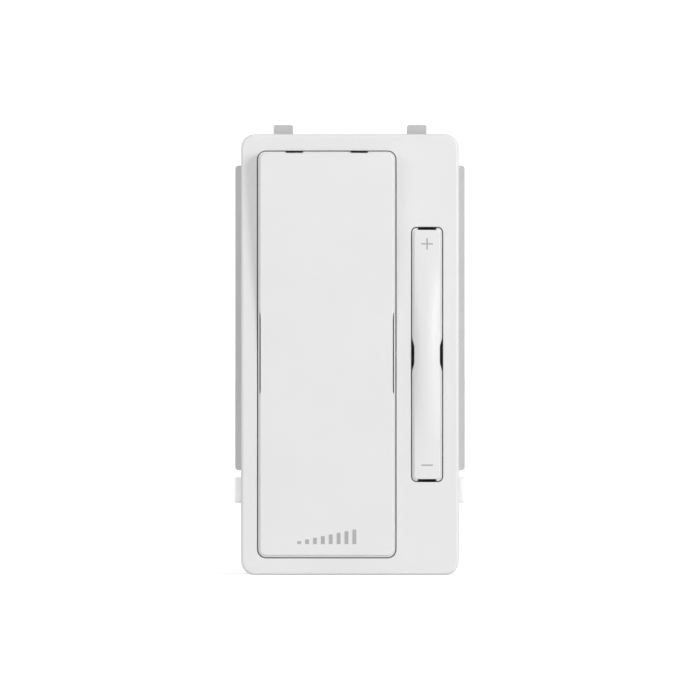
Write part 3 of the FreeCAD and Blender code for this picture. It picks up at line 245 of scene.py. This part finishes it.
def switch_button():
    return moulded("switch_button", grey(0.030), grey(0.042), 0.42, grain=0.12 * MM)


def metal(name, dull, bright, rough, stretch=(1, 1, 1), grain=0.12 * MM):
    """Metal with drawn or turned marks: the noise is stretched along the marks."""
    graph = Graph(name, Metallic=1.0)
    marks = graph.noise(grain, detail=4.0, stretch=stretch)
    stains = graph.noise(2.5 * MM, detail=5.0)
    graph.set(Base_Color=graph.mix(graph.span(stains, 0.0, 1.0), dull, bright))
    graph.set(Roughness=graph.span(marks, rough - 0.07, rough + 0.08))
    graph.bump((marks, 0.006 * MM, 0.5), (stains, 0.004 * MM, 0.3))
    return graph


def steel():
    """Zinc-plated steel with a faint bluish cast."""
    return metal("steel", (0.50, 0.51, 0.54), (0.66, 0.67, 0.69), 0.28, stretch=(0.15, 1, 1))


def terminal_brass():
    return metal("terminal_brass", (0.62, 0.43, 0.17), (0.80, 0.60, 0.28), 0.26, stretch=(1, 0.2, 1))


def sink_aluminium():
    return metal("sink_aluminium", grey(0.62), grey(0.78), 0.34, stretch=(1, 1, 0.05), grain=0.2 * MM)


def laminate():
    """Green solder mask over copper tracks, which show as slightly raised lighter bands."""
    graph = Graph("laminate", Coat_Weight=0.4, Coat_Roughness=0.2)
    board_plane = graph.add("ShaderNodeMapping", Vector=graph.place, Rotation=(math.pi / 2, 0, 0))
    tracks = graph.add(
        "ShaderNodeTexBrick", Vector=board_plane.outputs["Vector"],
        Scale=1 / (9 * MM), Mortar_Size=0.035, Brick_Width=0.7, Row_Height=0.28,
    ).outputs["Fac"]
    weave = graph.noise(0.5 * MM, detail=2.0)
    mask = graph.mix(graph.span(weave, 0.0, 1.0), (0.010, 0.075, 0.030), (0.014, 0.095, 0.038))
    graph.set(Base_Color=graph.mix(tracks, mask, (0.035, 0.17, 0.07)))
    graph.set(Roughness=graph.span(weave, 0.30, 0.42))
    graph.bump((tracks, 0.03 * MM, 0.5), (weave, 0.008 * MM, 0.3))
    return graph


def choke_core_coat():
    """Iron powder ring under a thick speckled coat."""
    graph = Graph("choke_core", Coat_Weight=0.3, Coat_Roughness=0.3)
    specks = graph.span(graph.noise(0.25 * MM, detail=4.0), 0.0, 1.0)
    graph.set(Base_Color=graph.mix(specks, (0.52, 0.40, 0.05), (0.70, 0.56, 0.10)))
    graph.set(Roughness=graph.span(graph.noise(0.8 * MM), 0.42, 0.58))
    graph.bump((graph.noise(0.6 * MM, detail=3.0), 0.05 * MM, 0.5))
    return graph


def copper_wire():
    """Enamelled copper: the turns run round the ring's section, so they repeat with the angle round it."""
    low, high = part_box("choke_winding")
    centre = (low + high) / 2
    turns = 46.0
    graph = Graph("copper_wire", Metallic=0.85, Coat_Weight=0.6, Coat_Roughness=0.12)
    split = graph.add("ShaderNodeSeparateXYZ", Vector=graph.place)
    across = graph.math("SUBTRACT", split.outputs["X"], centre.x)
    up = graph.math("SUBTRACT", split.outputs["Z"], centre.z)
    angle = graph.math("ARCTAN2", up, across)
    wave = graph.math("SINE", graph.math("MULTIPLY", angle, turns))
    crest = graph.math("MULTIPLY_ADD", wave, 0.5, 0.5)
    stains = graph.noise(1.5 * MM, detail=3.0)
    enamel = graph.mix(graph.span(stains, 0.0, 1.0), (0.45, 0.14, 0.04), (0.62, 0.24, 0.08))
    # The grooves between the turns are painted near black: painted shade where neighbouring turns meet,
    # over the enamel's own colour on the crests.
    graph.set(Base_Color=graph.mix(crest, (0.10, 0.03, 0.01), enamel))
    graph.set(Roughness=graph.span(stains, 0.22, 0.34))
    graph.bump((crest, 0.25 * MM, 1.0), (stains, 0.01 * MM, 0.3))
    return graph


def film_case():
    return moulded("film_case", (0.46, 0.34, 0.06), (0.56, 0.42, 0.08), 0.34, grain=0.3 * MM)


def capacitor_sleeve():
    """Shrink sleeve with a pale stripe down one side and fine shrink wrinkles."""
    graph = Graph("capacitor_sleeve")
    low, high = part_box("electrolytic_capacitor")
    split = graph.add("ShaderNodeSeparateXYZ", Vector=graph.place)
    stripe = graph.math("GREATER_THAN", split.outputs["X"], high.x - 0.22 * (high.x - low.x))
    film = graph.noise(1.2 * MM, detail=3.0)
    sleeve = graph.mix(graph.span(film, 0.0, 1.0), (0.006, 0.010, 0.035), (0.010, 0.016, 0.050))
    graph.set(Base_Color=graph.mix(stripe, sleeve, (0.45, 0.46, 0.50)))
    graph.set(Roughness=graph.span(film, 0.22, 0.32))
    graph.bump((graph.noise(0.5 * MM, stretch=(1, 0.15, 1)), 0.02 * MM, 0.4))
    return graph


def fuse_case():
    return moulded("fuse_case", (0.055, 0.022, 0.010), (0.075, 0.032, 0.015), 0.48, grain=0.2 * MM)


def print_ink():
    """Pad-printed grey ink: matt, a little uneven where the pad lifted."""
    graph = Graph("print_ink")
    cover = graph.noise(0.12 * MM, detail=4.0)
    graph.set(Base_Color=graph.mix(graph.span(cover, 0.0, 1.0), grey(0.40), grey(0.46)))
    graph.set(Roughness=graph.span(cover, 0.55, 0.70))
    graph.bump((cover, 0.004 * MM, 0.5))
    return graph


def label_foil():
    """Blank label: pale foil with empty ruled fields."""
    graph = Graph("label_foil", Metallic=0.35)
    split = graph.add("ShaderNodeSeparateXYZ", Vector=graph.place)
    above = graph.math("SUBTRACT", split.outputs["Z"], LABEL_LOW)
    rows = graph.math("MULTIPLY", above, LABEL_FIELDS / (LABEL_HIGH - LABEL_LOW))
    ruled = graph.math("LESS_THAN", graph.math("PINGPONG", rows, 0.5), 0.014)
    fibres = graph.noise(0.3 * MM, detail=4.0)
    foil = graph.mix(graph.span(fibres, 0.0, 1.0), grey(0.60), grey(0.68))
    graph.set(Base_Color=graph.mix(ruled, foil, grey(0.16)))
    graph.set(Roughness=graph.span(fibres, 0.34, 0.46))
    graph.bump((fibres, 0.006 * MM, 0.4))
    return graph


MATERIALS = {
    "white_plastic": white_plastic,
    "grey_plastic": grey_plastic,
    "dark_plastic": dark_plastic,
    "natural_nylon": natural_nylon,
    "steel": steel,
    "switch_case": switch_case,
    "switch_button": switch_button,
    "laminate": laminate,
    "terminal_brass": terminal_brass,
    "sink_aluminium": sink_aluminium,
    "choke_core": choke_core_coat,
    "copper_wire": copper_wire,
    "film_case": film_case,
    "capacitor_sleeve": capacitor_sleeve,
    "fuse_case": fuse_case,
}


def paint_nodes():
    """Gives every CAD node the material of its slot in the record."""
    made = {slot: make().material for slot, make in MATERIALS.items()}
    for part in frame["record"]["subparts"]:
        data = nodes[part["node"]].data
        data.materials.clear()
        data.materials.append(made[part["material_slot"]])


# ---------------------------------------------------------------- printed marks and label


def surface_of(node):
    """Finds how far forward a CAD node's surface lies at a place on its front."""
    data = nodes[node].data
    tree = BVHTree.FromPolygons(
        [vertex.co for vertex in data.vertices], [tuple(face.vertices) for face in data.polygons]
    )

    def depth_at(across, up):
        hit = tree.ray_cast(Vector((across, -0.1, up)), Vector((0, 1, 0)))[0]
        return hit.y

    return depth_at


def mesh_data(name, mesh):
    """Turns a finished bmesh into mesh data."""
    data = bpy.data.meshes.new(name)
    mesh.to_mesh(data)
    mesh.free()
    return data


def add_piece(name, data, material, body):
    """A new piece with its own material, riding on a body."""
    piece = bpy.data.objects.new(name, data)
    bpy.context.scene.collection.objects.link(piece)
    data.materials.append(material)
    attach(piece, body)
    return piece


def print_mark(name, node, centre, columns, rows, filled, material):
    """A printed mark: the filled cells of a grid, laid on a node's front as a closed film of ink."""
    depth_at = surface_of(node)
    thickness, sunk = 0.012 * MM, 0.010 * MM
    mesh = bmesh.new()
    front, back = {}, {}

    def corner(layer, column, row, shift):
        key = (column, row)
        if key not in layer:
            across, up = centre[0] + columns[column], centre[1] + rows[row]
            layer[key] = mesh.verts.new((across, depth_at(across, up) + shift, up))
        return layer[key]

    def is_filled(column, row):
        inside = 0 <= column < len(columns) - 1 and 0 <= row < len(rows) - 1
        return inside and filled(column, row)

    for column in range(len(columns) - 1):
        for row in range(len(rows) - 1):
            if not is_filled(column, row):
                continue
            loop = [(column, row), (column + 1, row), (column + 1, row + 1), (column, row + 1)]
            outside = [(column, row - 1), (column + 1, row), (column, row + 1), (column - 1, row)]
            tops = [corner(front, *place, -thickness) for place in loop]
            bottoms = [corner(back, *place, sunk) for place in loop]
            mesh.faces.new(tops)
            mesh.faces.new(bottoms[::-1])
            for index, neighbour in enumerate(outside):
                if not is_filled(*neighbour):
                    after = (index + 1) % 4
                    mesh.faces.new((tops[after], tops[index], bottoms[index], bottoms[after]))
    bmesh.ops.recalc_face_normals(mesh, faces=mesh.faces)
    return add_piece(name, mesh_data(name, mesh), material, nodes[node]["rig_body"])


def steps(low, high, count):
    return [low + (high - low) * index / count for index in range(count + 1)]


def bar_marks(ink):
    """Plus at the top and minus at the bottom of the dimming bar."""
    half, stroke = 0.86 * MM, 0.11 * MM
    arm = steps(-half, -stroke, 3) + steps(stroke, half, 3)
    middle = 3
    low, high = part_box("dimming_bar")
    across = (low.x + high.x) / 2
    inset = 2.4 * MM
    print_mark(
        "mark_plus", "dimming_bar", (across, high.z - inset), arm, arm,
        lambda column, row: middle in (column, row), ink,
    )
    print_mark(
        "mark_minus", "dimming_bar", (across, low.z + inset), arm, [-stroke, stroke],
        lambda column, row: True, ink,
    )


def level_pictogram(ink):
    """Row of rising strokes near the bottom of the paddle, a neutral sign for a level that is set."""
    strokes, width, pitch = 8, 0.58 * MM, 1.19 * MM
    shortest, tallest = 0.45 * MM, 2.2 * MM
    columns = [edge for index in range(strokes) for edge in (index * pitch, index * pitch + width)]
    rows = [0.0] + steps(shortest, tallest, strokes - 1)
    low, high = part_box("paddle")
    total = columns[-1]
    corner = ((low.x + high.x) / 2 - total / 2, low.z + 2.0 * MM)
    print_mark(
        "mark_level", "paddle", corner, columns, rows,
        lambda column, row: column % 2 == 0 and row <= column // 2, ink,
    )


def blank_label(foil):
    """Thin label in the recess of the rear wall, with rounded corners."""
    half_width, radius = 8.8 * MM, 0.9 * MM
    thickness, recess, sunk = 0.10 * MM, 0.25 * MM, 0.01 * MM
    corner_steps = 6
    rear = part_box("rear_housing")[1].y - recess
    mesh = bmesh.new()
    ring = []
    corners = ((1, LABEL_HIGH, 0), (-1, LABEL_HIGH, 1), (-1, LABEL_LOW, 2), (1, LABEL_LOW, 3))
    for side, up, quarter in corners:
        centre_x = side * (half_width - radius)
        centre_z = up - math.copysign(radius, up)
        for step in range(corner_steps + 1):
            angle = (quarter + step / corner_steps) * math.pi / 2
            ring.append((centre_x + radius * math.cos(angle), centre_z + radius * math.sin(angle)))
    base = [mesh.verts.new((across, rear - sunk, up)) for across, up in ring]
    top = [mesh.verts.new((across, rear + thickness, up)) for across, up in ring]
    mesh.faces.new(base)
    mesh.faces.new(top[::-1])
    for index, vertex in enumerate(base):
        before = base[index - 1]
        mesh.faces.new((before, vertex, top[index], top[index - 1]))
    bmesh.ops.recalc_face_normals(mesh, faces=mesh.faces)
    return add_piece("blank_label", mesh_data("blank_label", mesh), foil, "module")


# ---------------------------------------------------------------- springs


def latch_coil(hand):
    """The spring behind a latch, as a copy of its CAD node riding on the module."""
    name = f"latch_spring_{hand}"
    node_material = nodes[name].data.materials[0]
    coil = nodes[name].data.copy()
    coil.materials.clear()
    piece = add_piece(f"latch_coil_{hand}", coil, node_material, "module")
    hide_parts(name)
    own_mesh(piece)


# ---------------------------------------------------------------- studio


def studio_floor():
    """Wide pale floor under the object."""
    half = 20.0
    floor = cad_bounds[0][2]
    mesh = bmesh.new()
    corners = ((-half, -half), (half, -half), (half, half), (-half, half))
    mesh.faces.new([mesh.verts.new((across, deep, floor)) for across, deep in corners])
    data = mesh_data("studio_floor", mesh)
    data.materials.append(floor_paper())
    plane = bpy.data.objects.new("studio_floor", data)
    bpy.context.scene.collection.objects.link(plane)


def floor_paper():
    """Matt white paper, lifted towards white where the camera sees it directly."""
    graph = Graph("floor_paper")
    fibres = graph.noise(3 * MM, detail=3.0)
    graph.set(Base_Color=graph.mix(graph.span(fibres, 0.0, 1.0), grey(0.86), grey(0.88)), Roughness=0.9)
    seen = graph.add("ShaderNodeLightPath").outputs["Is Camera Ray"]
    graph.set(Emission_Color=rgba(grey(1.0)), Emission_Strength=graph.math("MULTIPLY", seen, FLOOR_LIFT))
    return graph.material


def studio_world():
    """Light all round that grows towards the top; the camera itself sees plain white."""
    world = bpy.data.worlds.new("studio_world")
    bpy.context.scene.world = world
    world.use_nodes = True
    tree = world.node_tree
    background = tree.nodes["Background"]
    background.inputs["Color"].default_value = rgba(grey(1.0))
    slope = tree.nodes.new("ShaderNodeVectorMath")
    slope.operation = "DOT_PRODUCT"
    slope.inputs[1].default_value = WORLD_SLOPE
    direction = tree.nodes.new("ShaderNodeTexCoord").outputs["Generated"]
    tree.links.new(direction, slope.inputs[0])
    level = tree.nodes.new("ShaderNodeMath")
    level.inputs[1].default_value = WORLD_LEVEL
    tree.links.new(slope.outputs["Value"], level.inputs[0])
    seen = tree.nodes.new("ShaderNodeLightPath").outputs["Is Camera Ray"]
    brighter = tree.nodes.new("ShaderNodeMath")
    tree.links.new(level.outputs["Value"], brighter.inputs[0])
    tree.links.new(seen, brighter.inputs[1])
    tree.links.new(brighter.outputs["Value"], background.inputs["Strength"])


def softbox(name, place, size, power):
    """Square area light that faces the object."""
    light = bpy.data.lights.new(name, "AREA")
    light.shape = "SQUARE"
    light.size = size
    light.energy = power
    lamp = bpy.data.objects.new(name, light)
    lamp.location = place
    lamp.rotation_euler = (-Vector(place)).to_track_quat("-Z", "Y").to_euler()
    bpy.context.scene.collection.objects.link(lamp)


def studio_camera():
    """Straight front view; the view's width at the face is that of the picture."""
    distance, height = 3.0, 0.68 * MM
    view_width = 105.7 * MM
    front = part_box("face_frame")[0].y
    data = bpy.data.cameras.new("camera")
    camera = bpy.data.objects.new("camera", data)
    bpy.context.scene.collection.objects.link(camera)
    camera.location = (0, -distance, height)
    camera.rotation_euler = (math.pi / 2, 0, 0)
    data.sensor_width = 36
    data.lens = data.sensor_width * (distance + front) / view_width
    data.clip_start = 0.01
    bpy.context.scene.camera = camera


paint_nodes()
ink = print_ink().material
bar_marks(ink)
level_pictogram(ink)
blank_label(label_foil().material)
latch_coil("left")
latch_coil("right")
studio_floor()
studio_world()
for lamp_name, lamp_place, lamp_size, lamp_power in LAMPS:
    softbox(lamp_name, lamp_place, lamp_size, lamp_power)
studio_camera()
bpy.context.scene.view_settings.view_transform = "Standard"
